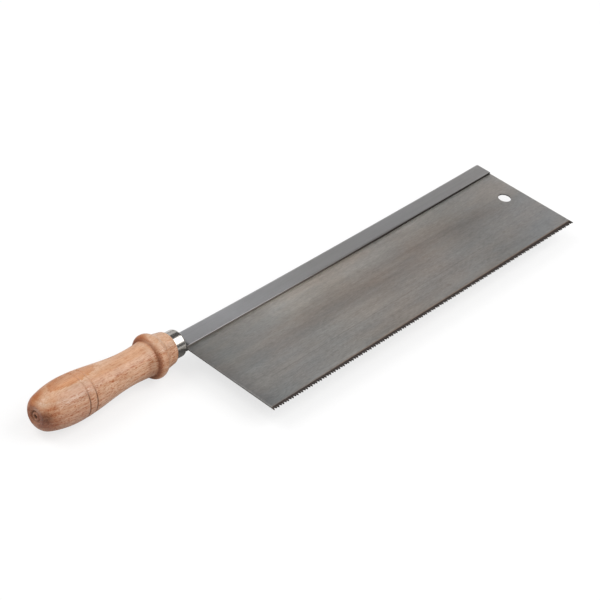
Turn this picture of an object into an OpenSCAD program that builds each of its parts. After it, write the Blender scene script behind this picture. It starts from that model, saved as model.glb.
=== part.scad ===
// Fine back saw: a thin toothed blade pinched in a folded steel back, on a straight turned handle.
// The saw lies on its side: +X runs to the toe, the teeth point to -Y and +Z is the blade's normal.
// The origin is the middle of the saw's footprint, at the height of the surface that it lies on.

/* [Blade] */
// Length of the blade from heel to toe
blade_len = 250; // [150:1:350]
// Depth of the blade from the back's lower edge to the tooth tips
blade_drop = 57.6; // [40:0.1:90]
// Thickness of the blade sheet
blade_t = 0.7; // [0.4:0.05:1.2]

/* [Teeth] */
// Distance between tooth tips, rounded so that both ends of the blade fall on a tip
tooth_pitch = 1.736; // [1.4:0.002:3]
// Angle between the two flanks of a tooth
tooth_angle = 60; // [50:1:80]
// Flat at the bottom of the gap between two teeth
gullet_w = 0.24; // [0.1:0.02:0.4]
// How far the tips lean out of the sheet, to the two sides by turns
tooth_set = 0.2; // [0.05:0.01:0.3]

/* [Hang hole] */
// Diameter of the hole near the toe
hole_d = 7.4; // [4:0.1:12]
// Distance of its centre from the toe edge
hole_from_toe = 12.85; // [8:0.05:30]
// Distance of its centre from the back's lower edge
hole_below_back = 18.95; // [10:0.05:30]

/* [Folded back] */
// Height of the back
back_h = 10.1; // [7:0.1:16]
// How far the back stops short of the toe
back_short = 0.7; // [0:0.1:3]
// Thickness of the strip that the back is folded from
strip_t = 1.45; // [0.8:0.05:2]
// Gap left inside the fold above the blade
fold_gap = 0.8; // [0.3:0.1:2]
// Rounding of the pressed fold's two upper edges
fold_round = 1.2; // [0.5:0.1:1.6]
// Rounding of the back's two lower outer edges
lip_round = 0.35; // [0.1:0.05:0.6]

/* [Ferrule] */
// Outer diameter of the ferrule
ferrule_d = 14.4; // [12:0.1:16]
// Length of the ferrule
ferrule_len = 6.6; // [4:0.1:14]
// Thickness of the sheet that the ferrule is drawn from
ferrule_wall = 0.6; // [0.4:0.05:0.9]
// Rounding of the ferrule's front edge
ferrule_round = 1.3; // [1:0.05:2]
// Gap between the ferrule's front and the heel end of the back
heel_gap = 0.1; // [0.05:0.05:0.5]

/* [Tang] */
// Length of the tang behind the heel
tang_len = 55; // [35:1:70]
// Width of the tang at the heel
tang_w = 4.4; // [3:0.1:6]
// Width of the tang where its point starts
tang_tip_w = 2; // [1.2:0.1:2.8]
// Length of the tang's point
tang_point = 3; // [1:0.5:6]
// Thickness of the tang
tang_t = 3; // [2:0.1:4]
// Room around the tang in the ferrule's hole
tang_room = 0.3; // [0.1:0.05:1]

/* [Handle] */
// Angle between the handle and the back, raising the butt away from the teeth
handle_tilt = 1.95; // [0:0.05:5]
// Height of the handle's axis above the middle of the back, at the heel
handle_rise = 1.95; // [0:0.05:4]
// Length of the handle behind the ferrule
handle_len = 84.6; // [75:0.1:130]
// Diameter of the barrel behind the ferrule
barrel_d = 17.5; // [16.5:0.1:20]
// Rounding of the barrel's front edge
shoulder_round = 1.8; // [0.5:0.1:1.9]
// Angle at which the barrel widens towards the bead
barrel_flare = 10; // [0:0.5:14]
// Radius of the hollow between the barrel and the bead
cove_r = 3; // [1:0.1:4]
// Diameter of the bead
bead_d = 23.5; // [22:0.1:27]
// Distance of the bead's crest from the ferrule
bead_from_shoulder = 11.6; // [10.5:0.1:16]
// Radius of the bead's front half
bead_front_r = 4.4; // [3.6:0.1:5]
// Radius of the bead's rear half
bead_rear_r = 3; // [2.4:0.1:4]
// Diameter of the waist
waist_d = 16.96; // [14:0.02:18]
// Distance of the waist from the ferrule
waist_from_shoulder = 26.3; // [20:0.1:36]
// How much thicker the neck is beside the bead than at the waist, on the radius
neck_rise = 0.72; // [0.3:0.02:1.2]
// Diameter of the belly
belly_d = 23.48; // [21:0.02:27]
// Distance of the belly's widest point from the butt
belly_from_butt = 20.3; // [16:0.1:26]
// Diameter of the flat end of the butt
butt_flat_d = 10.8; // [6:0.1:12]
// Radius that rounds the butt into its flat end
butt_round = 7.7; // [4:0.1:9]
// Angle between the butt's rounding and its flat end
butt_edge_angle = 26; // [10:1:40]

/* [Scribed lines and lathe mark] */
// Distance of the rear scribed line from the butt
line_from_butt = 24.2; // [22:0.1:30]
// Distance between the two scribed lines
line_gap = 4.8; // [2:0.1:8]
// Width of a scribed line
line_w = 0.8; // [0.4:0.05:1.2]
// Depth of a scribed line
line_depth = 0.3; // [0.1:0.05:0.5]
// Diameter of the ring that the lathe's cup centre leaves in the butt
ring_d = 4.8; // [3.6:0.1:5.6]
// Width of that ring
ring_w = 0.9; // [0.4:0.05:1.2]
// Depth of that ring
ring_depth = 0.5; // [0.2:0.05:1]
// Diameter of the point mark in the middle of the ring
point_d = 1.8; // [1:0.1:2.2]
// Depth of the point mark
point_depth = 1.6; // [0.5:0.1:3]

/* [Fits] */
// Gap on each side between the handle and the steel pieces in and on it
fit_gap = 0.05; // [0.02:0.01:0.1]

/* [Hidden] */
$fn = 96;
arc_steps = 10;
swell_steps = 18;
overcut = 1;

// Heights are measured from the back's lower edge, lengths from the heel
tooth_count = round(blade_len / tooth_pitch);
tip_step = blade_len / tooth_count;
tooth_base = tip_step - gullet_w;
tooth_depth = tooth_base / (2 * tan(tooth_angle / 2));
gullet_y = -blade_drop + tooth_depth;
back_t = blade_t + 2 * strip_t;
fold_y = back_h - back_t / 2;
blade_top_y = fold_y - fold_gap;

// Places along the handle are distances behind the heel, on the handle's axis
axis_y = back_h / 2 + handle_rise;
ferrule_front = (heel_gap + (back_h - axis_y) * sin(handle_tilt)) / cos(handle_tilt);
ferrule_r = ferrule_d / 2;
ferrule_hole_r = norm([tang_w, tang_t]) / 2 + tang_room;
ferrule_inner_round = max(ferrule_round - ferrule_wall, 2 * fit_gap);
shoulder_a = ferrule_front + ferrule_len;
bead_a = shoulder_a + bead_from_shoulder;
waist_a = shoulder_a + waist_from_shoulder;
butt_a = shoulder_a + handle_len;
belly_a = butt_a - belly_from_butt;
tenon_r = ferrule_r - ferrule_wall - fit_gap;
barrel_r = barrel_d / 2;
bead_r = bead_d / 2;
waist_r = waist_d / 2;
belly_r = belly_d / 2;
butt_flat_r = butt_flat_d / 2;

// Hollow that touches the barrel's slope and the front of the bead; points are [radius, distance]
barrel_start = [barrel_r, shoulder_a + shoulder_round];
barrel_way = [sin(barrel_flare), cos(barrel_flare)];
barrel_out = [cos(barrel_flare), -sin(barrel_flare)];
bead_front_c = [bead_r - bead_front_r, bead_a];
bead_rear_c = [bead_r - bead_rear_r, bead_a];
cove_off = barrel_start + cove_r * barrel_out - bead_front_c;
cove_back = cove_off * barrel_way;
cove_run = -cove_back - sqrt(pow(cove_back, 2) - cove_off * cove_off + pow(cove_r + bead_front_r, 2));
cove_c = bead_front_c + cove_off + cove_run * barrel_way;
cove_end = atan2(bead_a - cove_c[1], bead_front_c[0] - cove_c[0]);

// Corner between the bead and the neck, and the arc from there to the waist
crease_r = waist_r + neck_rise;
crease_turn = acos((crease_r - bead_rear_c[0]) / bead_rear_r);
neck_len = waist_a - bead_a - bead_rear_r * sin(crease_turn);
neck_r = (pow(neck_len, 2) + pow(neck_rise, 2)) / (2 * neck_rise);

// Rear of the belly: a large arc from the widest point that runs into the butt's rounding
cap_r = min(butt_round, 0.9 * (belly_r - butt_flat_r) / (1 - sin(butt_edge_angle)));
cap_c = [butt_flat_r - cap_r * sin(butt_edge_angle), butt_a - cap_r * cos(butt_edge_angle)];
cap_drop = belly_r - cap_c[0];
cap_run = cap_c[1] - belly_a;
rear_r = (pow(cap_run, 2) + pow(cap_drop, 2) - pow(cap_r, 2)) / (2 * (cap_drop - cap_r));
rear_c = [belly_r - rear_r, belly_a];
rear_turn = atan2(cap_run, cap_c[0] - rear_c[0]);

// Middle of the footprint and height of the blade's middle above the resting surface
butt_reach = butt_a * cos(handle_tilt) + butt_flat_r * sin(handle_tilt);
belly_reach = belly_a * sin(handle_tilt) + rear_c[0] * cos(handle_tilt) + rear_r;
bead_reach = bead_a * sin(handle_tilt) + bead_rear_c[0] * cos(handle_tilt) + bead_rear_r;
centre_x = (blade_len - butt_reach) / 2;
centre_y = (axis_y + max(belly_reach, bead_reach) - blade_drop) / 2;
lift = max(bead_r, belly_r);

// Points of an arc from one angle to another
function arc(c, r, from, to) =
    [for (i = [0 : arc_steps]) let (t = from + (to - from) * i / arc_steps) c + r * [cos(t), sin(t)]];

// Radius of the handle between the waist and the belly, half a cosine wave
function swell(a) = waist_r + (belly_r - waist_r) * (1 - cos(180 * (a - waist_a) / (belly_a - waist_a))) / 2;

// Outline of half the handle, from the tenon inside the ferrule to the butt
function handle_outline() = concat(
    [[0, ferrule_front + ferrule_wall + fit_gap]],
    arc([ferrule_r - ferrule_wall - ferrule_inner_round, ferrule_front + ferrule_wall + ferrule_inner_round],
        ferrule_inner_round - fit_gap, -90, 0),
    [[tenon_r, shoulder_a]],
    arc(barrel_start - [shoulder_round, 0], shoulder_round, -90, 0),
    arc(cove_c, cove_r, 180 - barrel_flare, cove_end),
    arc(bead_front_c, bead_front_r, cove_end - 180, 0),
    arc(bead_rear_c, bead_rear_r, 0, crease_turn),
    arc([waist_r + neck_r, waist_a], neck_r, 180 + asin(neck_len / neck_r), 180),
    [for (i = [1 : swell_steps - 1])
        let (a = waist_a + (belly_a - waist_a) * i / swell_steps) [swell(a), a]],
    arc(rear_c, rear_r, 0, rear_turn),
    arc(cap_c, cap_r, rear_turn, 90 - butt_edge_angle),
    [[0, butt_a]]
);

// Flat outline of the tang, or of the hole for it with a gap all round
function tang_outline(gap) =
    let (root = tang_w / 2 + gap, tip = tang_tip_w / 2 + gap, slant = root * tan(handle_tilt))
    [
        [slant, -root],
        [-slant, root],
        [tang_point - tang_len, tip],
        [-tang_len - gap, 0],
        [tang_point - tang_len, -tip]
    ];

// Moves the saw from the heel end of the back to its own origin
module in_place() {
    translate([-centre_x, -centre_y, lift]) children();
}

// Puts a flat outline on the handle's axis, in the plane of the blade
module along_handle() {
    in_place() translate([0, axis_y, 0]) rotate([0, 0, -handle_tilt]) children();
}

// Turns an outline of [radius, distance] points about the handle's axis
module turned(outline) {
    along_handle() rotate([0, -90, 0]) rotate_extrude() polygon(outline);
}

// V-shaped ring scribed around the handle
module scribed_line(a) {
    crest = swell(a) + overcut;
    half_w = line_w / 2 * (1 + overcut / line_depth);
    turned([[swell(a) - line_depth, a], [crest, a - half_w], [crest, a + half_w]]);
}

// Ring and point that the lathe's cup centre leaves in the butt
module lathe_mark() {
    ring_r = ring_d / 2;
    turned([
        [ring_r - ring_w / 2, butt_a + overcut],
        [ring_r - ring_w / 2, butt_a],
        [ring_r, butt_a - ring_depth],
        [ring_r + ring_w / 2, butt_a],
        [ring_r + ring_w / 2, butt_a + overcut]
    ]);
    turned([
        [0, butt_a - point_depth],
        [point_d / 2, butt_a],
        [point_d / 2, butt_a + overcut],
        [0, butt_a + overcut]
    ]);
}

module tang_bar(gap) {
    along_handle() linear_extrude(tang_t + 2 * gap, center = true) polygon(tang_outline(gap));
}

// Turned beech handle, with its tenon, scribed lines, lathe mark and the hole for the tang
module handle() {
    color([0.79, 0.61, 0.47]) difference() {
        turned(handle_outline());
        tang_bar(fit_gap);
        scribed_line(butt_a - line_from_butt);
        scribed_line(butt_a - line_from_butt - line_gap);
        lathe_mark();
    }
}

// Drawn cup with a round hole for the tang
module ferrule() {
    edge_c = [ferrule_r - ferrule_round, ferrule_front + ferrule_round];
    inner_c = [ferrule_r, ferrule_front] + [-1, 1] * (ferrule_wall + ferrule_inner_round);
    color([0.82, 0.82, 0.81]) turned(concat(
        [[ferrule_hole_r, ferrule_front]],
        arc(edge_c, ferrule_round, -90, 0),
        [[ferrule_r, shoulder_a], [ferrule_r - ferrule_wall, shoulder_a]],
        arc(inner_c, ferrule_inner_round, 0, -90),
        [[ferrule_hole_r, ferrule_front + ferrule_wall]]
    ));
}

// Tapered spike that carries the handle, square to the heel end of the back
module tang() {
    color([0.45, 0.45, 0.46]) tang_bar(0);
}

// Strip folded to an even wall, with the slot that grips the blade
module back_section() {
    lip_z = back_t / 2 - lip_round;
    top_r = min(fold_round, 0.45 * back_t);
    top_y = back_h - top_r;
    top_z = back_t / 2 - top_r;
    difference() {
        union() {
            for (side = [-1, 1]) translate([top_y, side * top_z]) circle(r = top_r);
            polygon(concat(
                [[back_h, top_z], [top_y, back_t / 2]],
                arc([lip_round, lip_z], lip_round, 90, 180),
                arc([lip_round, -lip_z], lip_round, 180, 270),
                [[top_y, -back_t / 2], [back_h, -top_z]]
            ));
        }
        translate([fold_y, 0]) circle(d = blade_t);
        translate([-overcut, -blade_t / 2]) square([fold_y + overcut, blade_t]);
    }
}

module folded_back() {
    color([0.53, 0.53, 0.54]) in_place() rotate([90, 0, 90]) linear_extrude(blade_len - back_short) back_section();
}

// Every second tooth: a strip that leans to one side, cut to points
module set_teeth(first, side) {
    reach = 2 * tooth_depth;
    lean = 2 * tooth_set * side;
    intersection() {
        rotate([90, 0, 90]) linear_extrude(blade_len) polygon([
            [gullet_y, blade_t / 2],
            [gullet_y, -blade_t / 2],
            [gullet_y - reach, lean - blade_t / 2],
            [gullet_y - reach, lean + blade_t / 2]
        ]);
        linear_extrude(2 * back_t, center = true) for (i = [first : 2 : tooth_count])
            translate([i * tip_step, 0]) polygon([
                [-tooth_base / 2, gullet_y],
                [0, -blade_drop],
                [tooth_base / 2, gullet_y]
            ]);
    }
}

// Sheet with alternately set teeth and the hang hole
module saw_blade() {
    color([0.51, 0.51, 0.50]) in_place() difference() {
        union() {
            translate([0, gullet_y, -blade_t / 2]) cube([blade_len, blade_top_y - gullet_y, blade_t]);
            set_teeth(0, -1);
            set_teeth(1, 1);
        }
        translate([blade_len - hole_from_toe, -hole_below_back, 0]) cylinder(h = back_t, d = hole_d, center = true);
    }
}

handle();
ferrule();
tang();
folded_back();
saw_blade();
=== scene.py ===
"""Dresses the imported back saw: turned beech handle, plated ferrule, folded back and toothed blade."""

import math

import bmesh
import bpy
import numpy as np
from mathutils import Matrix, Vector


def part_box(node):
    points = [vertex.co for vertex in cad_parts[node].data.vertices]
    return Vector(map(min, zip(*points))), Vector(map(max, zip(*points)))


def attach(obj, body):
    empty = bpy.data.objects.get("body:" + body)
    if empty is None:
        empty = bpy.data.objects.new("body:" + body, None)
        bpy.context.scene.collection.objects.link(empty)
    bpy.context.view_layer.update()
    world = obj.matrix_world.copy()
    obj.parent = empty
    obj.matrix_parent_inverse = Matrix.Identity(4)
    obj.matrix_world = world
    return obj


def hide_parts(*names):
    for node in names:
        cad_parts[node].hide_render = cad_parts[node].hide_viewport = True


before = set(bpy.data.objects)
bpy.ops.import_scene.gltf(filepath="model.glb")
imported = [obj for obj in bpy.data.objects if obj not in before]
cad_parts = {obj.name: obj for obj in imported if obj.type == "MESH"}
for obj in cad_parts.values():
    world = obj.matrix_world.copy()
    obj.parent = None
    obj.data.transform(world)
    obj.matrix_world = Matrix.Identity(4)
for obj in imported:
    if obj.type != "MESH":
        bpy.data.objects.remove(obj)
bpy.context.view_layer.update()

# Sizes are in millimetres, as on the drawing, and meshes are written in metres
MM = 0.001

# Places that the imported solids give
blade_low, blade_high = (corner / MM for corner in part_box("saw_blade"))
back_low, back_high = (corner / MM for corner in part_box("folded_back"))
HEEL_X = blade_low.x
TIP_Y = blade_low.y
LIP_Y = back_low.y
MID_Z = (back_low.z + back_high.z) / 2
BLADE_LEN = blade_high.x - blade_low.x
BLADE_H = blade_high.y - blade_low.y
BACK_LEN = (back_high - back_low).x
BACK_H = back_high.y - back_low.y
BACK_T = back_high.z - back_low.z

# Blade and teeth
BLADE_T = 0.7
TOOTH_COUNT = 144
TOOTH_HALF_ANGLE = math.radians(30)
TOOTH_SET = 0.2
GULLET_W = 0.24
GULLET_POINTS = 5
HOLE_R = 3.7
HOLE_FACETS = 72
HOLE_FROM_TOE = 12.85
HOLE_BELOW_LIP = 18.95

# Folded back
FOLD_ROUND = 1.2
FOLD_STEPS = 8
LIP_ROUND = 0.4
LIP_STEPS = 4
WALL_STEPS = 12
SLOT_GAP = 0.01
SLOT_STEPS = 9
END_CHAMFER = 0.12
SECTION_COUNT = 40
SECTION_INSET = 4
SHARP_ANGLE = math.radians(32)

# The back isn't quite straight: by shares of its length, its lips rise at both ends and close at the toe,
# and its fold bows
TOE_RISE = 2.1
TOE_RISE_FROM = 0.6
HEEL_RISE = 1.2
HEEL_RISE_TO = 0.4
BOW_LEAST = 0.11
BOW_GAIN = 0.8
BOW_MIDDLE = 0.52
BOW_POWER = 2.4
TOE_PINCH = 0.10
PINCH_H = 1.6

# Handle, measured along its axis from the heel
HANDLE_TILT = math.radians(1.95)
AXIS_ABOVE_LIP = 7.0
AXIS_START = Vector((HEEL_X, LIP_Y + AXIS_ABOVE_LIP, MID_Z))
HEEL_GAP = 0.1
FERRULE_FRONT = (HEEL_GAP + (BACK_H - AXIS_ABOVE_LIP) * math.sin(HANDLE_TILT)) / math.cos(HANDLE_TILT)
FERRULE_R = 7.2
FERRULE_LEN = 6.6
FERRULE_WALL = 0.6
FERRULE_ROUND = 1.3
FERRULE_HOLE_R = 2.96
FIT_GAP = 0.05
SHOULDER = FERRULE_FRONT + FERRULE_LEN
SHOULDER_ROUND = 1.8
BARREL_R = 8.75
BARREL_FLARE = 10
COVE_R = 3.0
BEAD = SHOULDER + 11.6
BEAD_R = 11.75
BEAD_FRONT_R = 4.4
BEAD_REAR_R = 3.0
CREASE = BEAD + 2.9
WAIST = SHOULDER + 26.3
WAIST_R = 8.48
NECK_RISE = 0.72
BUTT = SHOULDER + 84.6
BELLY = BUTT - 20.3
BELLY_R = 11.74
BUTT_FLAT_R = 5.4
BUTT_ROUND = 7.7
BUTT_EDGE_ANGLE = 26
LINES = (BUTT - 24.2, BUTT - 29.0)
LINE_W = 1.15
LINE_DEPTH = 0.5
RING_R = 2.7
RING_W = 1.6
RING_DEPTH = 1.0
POINT_R = 1.35
POINT_DEPTH = 2.4

# Fineness of the turned pieces; the slack keeps the handle's mesh inside the solid
TURNED_FACETS = 96
HANDLE_STEP = 0.15
HANDLE_SLACK = 0.999
FERRULE_STEP = 0.1
RIM_STEPS = 8
SWELL_POINTS = 60
SANDING_REACH = 2
ON_BUTT = 0.01

# Points closer than this are one point
SEAM = 0.0005

# Camera, solved from the photo's outlines
VIEW_AZIMUTH = math.radians(-54.81)
VIEW_ELEVATION = math.radians(36.93)
VIEW_ROLL = math.radians(10.27)
VIEW_DISTANCE = 1035.2
VIEW_TARGET = Vector((-5.155, 9.749, 11.75))
SENSOR = 36.0
LENS = 121.79
NEAREST = 0.05
FARTHEST = 50


# Node helpers

def add(tree, kind, values=None, **settings):
    """Adds a node, sets its options, and fills its inputs with values or links."""
    made = tree.nodes.new(kind)
    for option, value in settings.items():
        setattr(made, option, value)
    for socket, value in (values or {}).items():
        if isinstance(value, bpy.types.NodeSocket):
            tree.links.new(value, made.inputs[socket])
        else:
            made.inputs[socket].default_value = value
    return made


def maths(tree, operation, *values):
    """One step of arithmetic on values or links."""
    return add(tree, "ShaderNodeMath", dict(enumerate(values)), operation=operation).outputs[0]


def times(tree, *values):
    """Product of values or links."""
    product = values[0]
    for value in values[1:]:
        product = maths(tree, "MULTIPLY", product, value)
    return product


def most(tree, *values):
    """Largest of values or links."""
    largest = values[0]
    for value in values[1:]:
        largest = maths(tree, "MAXIMUM", largest, value)
    return largest


def apart(tree, value, middle):
    """Distance of a value from a middle."""
    return maths(tree, "ABSOLUTE", maths(tree, "SUBTRACT", value, middle))


def diagonal(tree, first, second):
    """Length of a line that runs by two lengths at right angles."""
    squares = [maths(tree, "POWER", length, 2) for length in (first, second)]
    return maths(tree, "SQRT", maths(tree, "ADD", *squares))


def between(tree, share, first, second):
    """Number between two numbers."""
    return add(tree, "ShaderNodeMix", {0: share, 2: first, 3: second}).outputs[0]


def split(tree, vector):
    """The X, Y and Z of a vector."""
    return add(tree, "ShaderNodeSeparateXYZ", {0: vector}).outputs


def span(tree, value, low, high, to_low=0.0, to_high=1.0, smooth=True):
    """Maps a value from one span to another and holds it at the ends."""
    made = add(
        tree,
        "ShaderNodeMapRange",
        {"Value": value, "From Min": low, "From Max": high, "To Min": to_low, "To Max": to_high},
        interpolation_type="SMOOTHSTEP" if smooth else "LINEAR",
    )
    return made.outputs["Result"]


def mask_of(tree, measures, limits):
    """Mask of a place: the product of spans, each given as the name of a measure and the span's ends."""
    return times(tree, *(span(tree, measures[name], *ends) for name, *ends in limits))


def ramp(tree, factor, stops):
    """Colour ramp with stops of (position, colour)."""
    made = add(tree, "ShaderNodeValToRGB", {0: factor})
    points = made.color_ramp.elements
    while len(points) < len(stops):
        points.new(0.5)
    for point, (position, colour) in zip(points, stops):
        point.position = position
        point.color = (*colour, 1.0)
    return made.outputs["Color"]


def mix(tree, kind, factor, first, second):
    """Blends two colours."""
    made = add(tree, "ShaderNodeMix", {0: factor, 6: first, 7: second}, data_type="RGBA", blend_type=kind)
    return made.outputs[2]


def multiplied(tree, colour, other):
    """Product of two colours."""
    return mix(tree, "MULTIPLY", 1.0, colour, other)


def tinted(tree, mask, colour, tint):
    """Colour multiplied by a tint as far as a mask says."""
    return mix(tree, "MULTIPLY", mask, colour, (*tint, 1))


def covered(tree, mask, colour, cover):
    """Colour that gives way to another as far as a mask says."""
    return mix(tree, "MIX", mask, colour, (*cover, 1))


def tinted_at_places(tree, measures, places, colour):
    """Colour tinted at each place of a table."""
    for tint, *limits in places.values():
        colour = tinted(tree, mask_of(tree, measures, limits), colour, tint)
    return colour


# Geometry Nodes trees

def new_tree(name, inputs):
    """Geometry tree with its named inputs; returns it with its input and output nodes."""
    tree = bpy.data.node_groups.new(name, "GeometryNodeTree")
    for label, kind in inputs:
        tree.interface.new_socket(label, in_out="INPUT", socket_type=kind)
    tree.interface.new_socket("Piece", in_out="OUTPUT", socket_type="NodeSocketGeometry")
    return tree, tree.nodes.new("NodeGroupInput"), tree.nodes.new("NodeGroupOutput")


def close_tree(tree, geometry, finish, end):
    """Ends a tree in plain, coloured geometry."""
    realized = add(tree, "GeometryNodeRealizeInstances", {"Geometry": geometry})
    coloured = add(tree, "GeometryNodeSetMaterial", {"Geometry": realized.outputs[0], "Material": finish})
    tree.links.new(coloured.outputs[0], end.inputs["Piece"])


def turned_tree():
    """Turns an outline of (distance, radius) points about the X axis."""
    tree, start, end = new_tree(
        "turned_piece",
        [("Outline", "NodeSocketGeometry"), ("Facets", "NodeSocketInt"), ("Finish", "NodeSocketMaterial")],
    )
    outline = start.outputs["Outline"]
    facets = start.outputs["Facets"]
    size = add(tree, "GeometryNodeAttributeDomainSize", {"Geometry": outline}, component="MESH")
    ring_points = maths(tree, "ADD", facets, 1)
    grid = add(
        tree,
        "GeometryNodeMeshGrid",
        {"Vertices X": size.outputs["Point Count"], "Vertices Y": ring_points},
    )
    index = add(tree, "GeometryNodeInputIndex").outputs[0]
    ring = maths(tree, "FLOOR", maths(tree, "DIVIDE", index, ring_points))
    step = maths(tree, "SUBTRACT", index, times(tree, ring, ring_points))
    place = add(tree, "GeometryNodeInputPosition").outputs[0]
    sampled = add(
        tree,
        "GeometryNodeSampleIndex",
        {"Geometry": outline, "Value": place, "Index": ring},
        data_type="FLOAT_VECTOR",
        domain="POINT",
    )
    point = split(tree, sampled.outputs[0])
    angle = maths(tree, "DIVIDE", times(tree, step, math.tau), facets)
    turned = add(
        tree,
        "ShaderNodeCombineXYZ",
        {
            "X": point["X"],
            "Y": times(tree, point["Y"], maths(tree, "COSINE", angle)),
            "Z": times(tree, point["Y"], maths(tree, "SINE", angle)),
        },
    )
    moved = add(
        tree,
        "GeometryNodeSetPosition",
        {"Geometry": grid.outputs["Mesh"], "Position": turned.outputs[0]},
    )
    closed = add(tree, "GeometryNodeMergeByDistance", {"Geometry": moved.outputs[0], "Distance": SEAM})
    smooth = add(tree, "GeometryNodeSetShadeSmooth", {"Geometry": closed.outputs[0], "Shade Smooth": True})
    close_tree(tree, smooth.outputs[0], start.outputs["Finish"], end)
    return tree


def toothed_tree():
    """Cuts a sheet with a row of teeth that lean to the two sides by turns, and a round hole."""
    tree, start, end = new_tree(
        "toothed_sheet",
        [
            ("Seed", "NodeSocketGeometry"),
            ("Length", "NodeSocketFloat"),
            ("Depth", "NodeSocketFloat"),
            ("Thickness", "NodeSocketFloat"),
            ("Teeth", "NodeSocketInt"),
            ("Tooth depth", "NodeSocketFloat"),
            ("Flank angle", "NodeSocketFloat"),
            ("Gullet radius", "NodeSocketFloat"),
            ("Set", "NodeSocketFloat"),
            ("Hole place", "NodeSocketVector"),
            ("Hole radius", "NodeSocketFloat"),
            ("Finish", "NodeSocketMaterial"),
        ],
    )
    given = start.outputs
    per_tooth = GULLET_POINTS + 1
    pitch = maths(tree, "DIVIDE", given["Length"], given["Teeth"])
    last_tip = times(tree, given["Teeth"], per_tooth)
    line = add(tree, "GeometryNodeMeshLine", {"Count": maths(tree, "ADD", last_tip, 3)})

    # Points of the outline: a tip, an arc round the gullet, the next tip, and at last the two top corners
    index = add(tree, "GeometryNodeInputIndex").outputs[0]
    tooth = maths(tree, "FLOOR", maths(tree, "DIVIDE", index, per_tooth))
    step = maths(tree, "SUBTRACT", index, times(tree, tooth, per_tooth))
    in_gullet = maths(tree, "GREATER_THAN", step, 0.5)
    arc_share = maths(tree, "DIVIDE", maths(tree, "SUBTRACT", step, 1), GULLET_POINTS - 1)
    arc_span = maths(tree, "SUBTRACT", math.pi, times(tree, given["Flank angle"], 2))
    arc_start = maths(tree, "SUBTRACT", math.pi, given["Flank angle"])
    arc_angle = maths(tree, "SUBTRACT", arc_start, times(tree, arc_share, arc_span))
    gullet_x = times(tree, given["Gullet radius"], maths(tree, "COSINE", arc_angle))
    below_top = maths(tree, "SUBTRACT", maths(tree, "SINE", arc_angle), 1)
    gullet_y = times(tree, given["Gullet radius"], below_top)
    beside = maths(tree, "ADD", times(tree, pitch, 0.5), gullet_x)
    row_x = maths(tree, "ADD", times(tree, tooth, pitch), times(tree, in_gullet, beside))
    row_y = times(tree, in_gullet, maths(tree, "ADD", given["Tooth depth"], gullet_y))
    at_top = maths(tree, "GREATER_THAN", index, maths(tree, "ADD", last_tip, 0.5))
    from_end = maths(tree, "SUBTRACT", maths(tree, "ADD", last_tip, 2), index)
    top_x = times(tree, from_end, given["Length"])
    outline_x = between(tree, at_top, row_x, top_x)
    outline_y = between(tree, at_top, row_y, given["Depth"])
    corner = add(tree, "ShaderNodeCombineXYZ", {"X": outline_x, "Y": outline_y})
    outline = add(
        tree,
        "GeometryNodeSetPosition",
        {"Geometry": line.outputs[0], "Position": corner.outputs[0]},
    )
    open_curve = add(tree, "GeometryNodeMeshToCurve", {"Mesh": outline.outputs[0]})
    edge = add(tree, "GeometryNodeSetSplineCyclic", {"Geometry": open_curve.outputs[0], "Cyclic": True})
    circle = add(
        tree,
        "GeometryNodeCurvePrimitiveCircle",
        {"Resolution": HOLE_FACETS, "Radius": given["Hole radius"]},
    )
    hole = add(
        tree,
        "GeometryNodeTransform",
        {"Geometry": circle.outputs[0], "Translation": given["Hole place"]},
    )
    curves = add(tree, "GeometryNodeJoinGeometry")
    tree.links.new(edge.outputs[0], curves.inputs[0])
    tree.links.new(hole.outputs[0], curves.inputs[0])
    sheet = add(tree, "GeometryNodeFillCurve", {"Curve": curves.outputs[0]})

    # Thickness, with the tips pushed out of the sheet
    upper = add(
        tree,
        "GeometryNodeExtrudeMesh",
        {"Mesh": sheet.outputs[0], "Offset Scale": given["Thickness"], "Individual": False},
    )
    lower = add(tree, "GeometryNodeFlipFaces", {"Mesh": sheet.outputs[0]})
    shells = add(tree, "GeometryNodeJoinGeometry")
    tree.links.new(upper.outputs[0], shells.inputs[0])
    tree.links.new(lower.outputs[0], shells.inputs[0])
    solid = add(tree, "GeometryNodeMergeByDistance", {"Geometry": shells.outputs[0], "Distance": SEAM})
    point = split(tree, add(tree, "GeometryNodeInputPosition").outputs[0])
    number = maths(tree, "ROUND", maths(tree, "DIVIDE", point["X"], pitch))
    odd = maths(tree, "MODULO", number, 2)
    side = maths(tree, "SUBTRACT", times(tree, odd, 2), 1)
    below_gullets = maths(tree, "SUBTRACT", given["Tooth depth"], point["Y"])
    share = most(tree, maths(tree, "DIVIDE", below_gullets, given["Tooth depth"]), 0)
    push = times(tree, share, side, given["Set"])
    half_down = times(tree, given["Thickness"], -0.5)
    shift = add(tree, "ShaderNodeCombineXYZ", {"Z": maths(tree, "ADD", push, half_down)})
    leaning = add(
        tree,
        "GeometryNodeSetPosition",
        {"Geometry": solid.outputs[0], "Offset": shift.outputs[0]},
    )
    flat = add(tree, "GeometryNodeSetShadeSmooth", {"Geometry": leaning.outputs[0], "Shade Smooth": False})
    close_tree(tree, flat.outputs[0], given["Finish"], end)
    return tree


def grow(name, seed, tree, values):
    """Runs a tree on a seed mesh and returns the plain mesh that it makes."""
    holder = bpy.data.objects.new(name + "_seed", seed)
    bpy.context.scene.collection.objects.link(holder)
    modifier = holder.modifiers.new(name, "NODES")
    modifier.node_group = tree
    sockets = {
        item.name: item.identifier
        for item in tree.interface.items_tree
        if item.item_type == "SOCKET" and item.in_out == "INPUT"
    }
    for label, value in values.items():
        modifier[sockets[label]] = value
    grown = bpy.data.meshes.new_from_object(holder.evaluated_get(bpy.context.evaluated_depsgraph_get()))
    holder.modifiers.remove(modifier)
    bpy.data.objects.remove(holder)
    return grown


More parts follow.
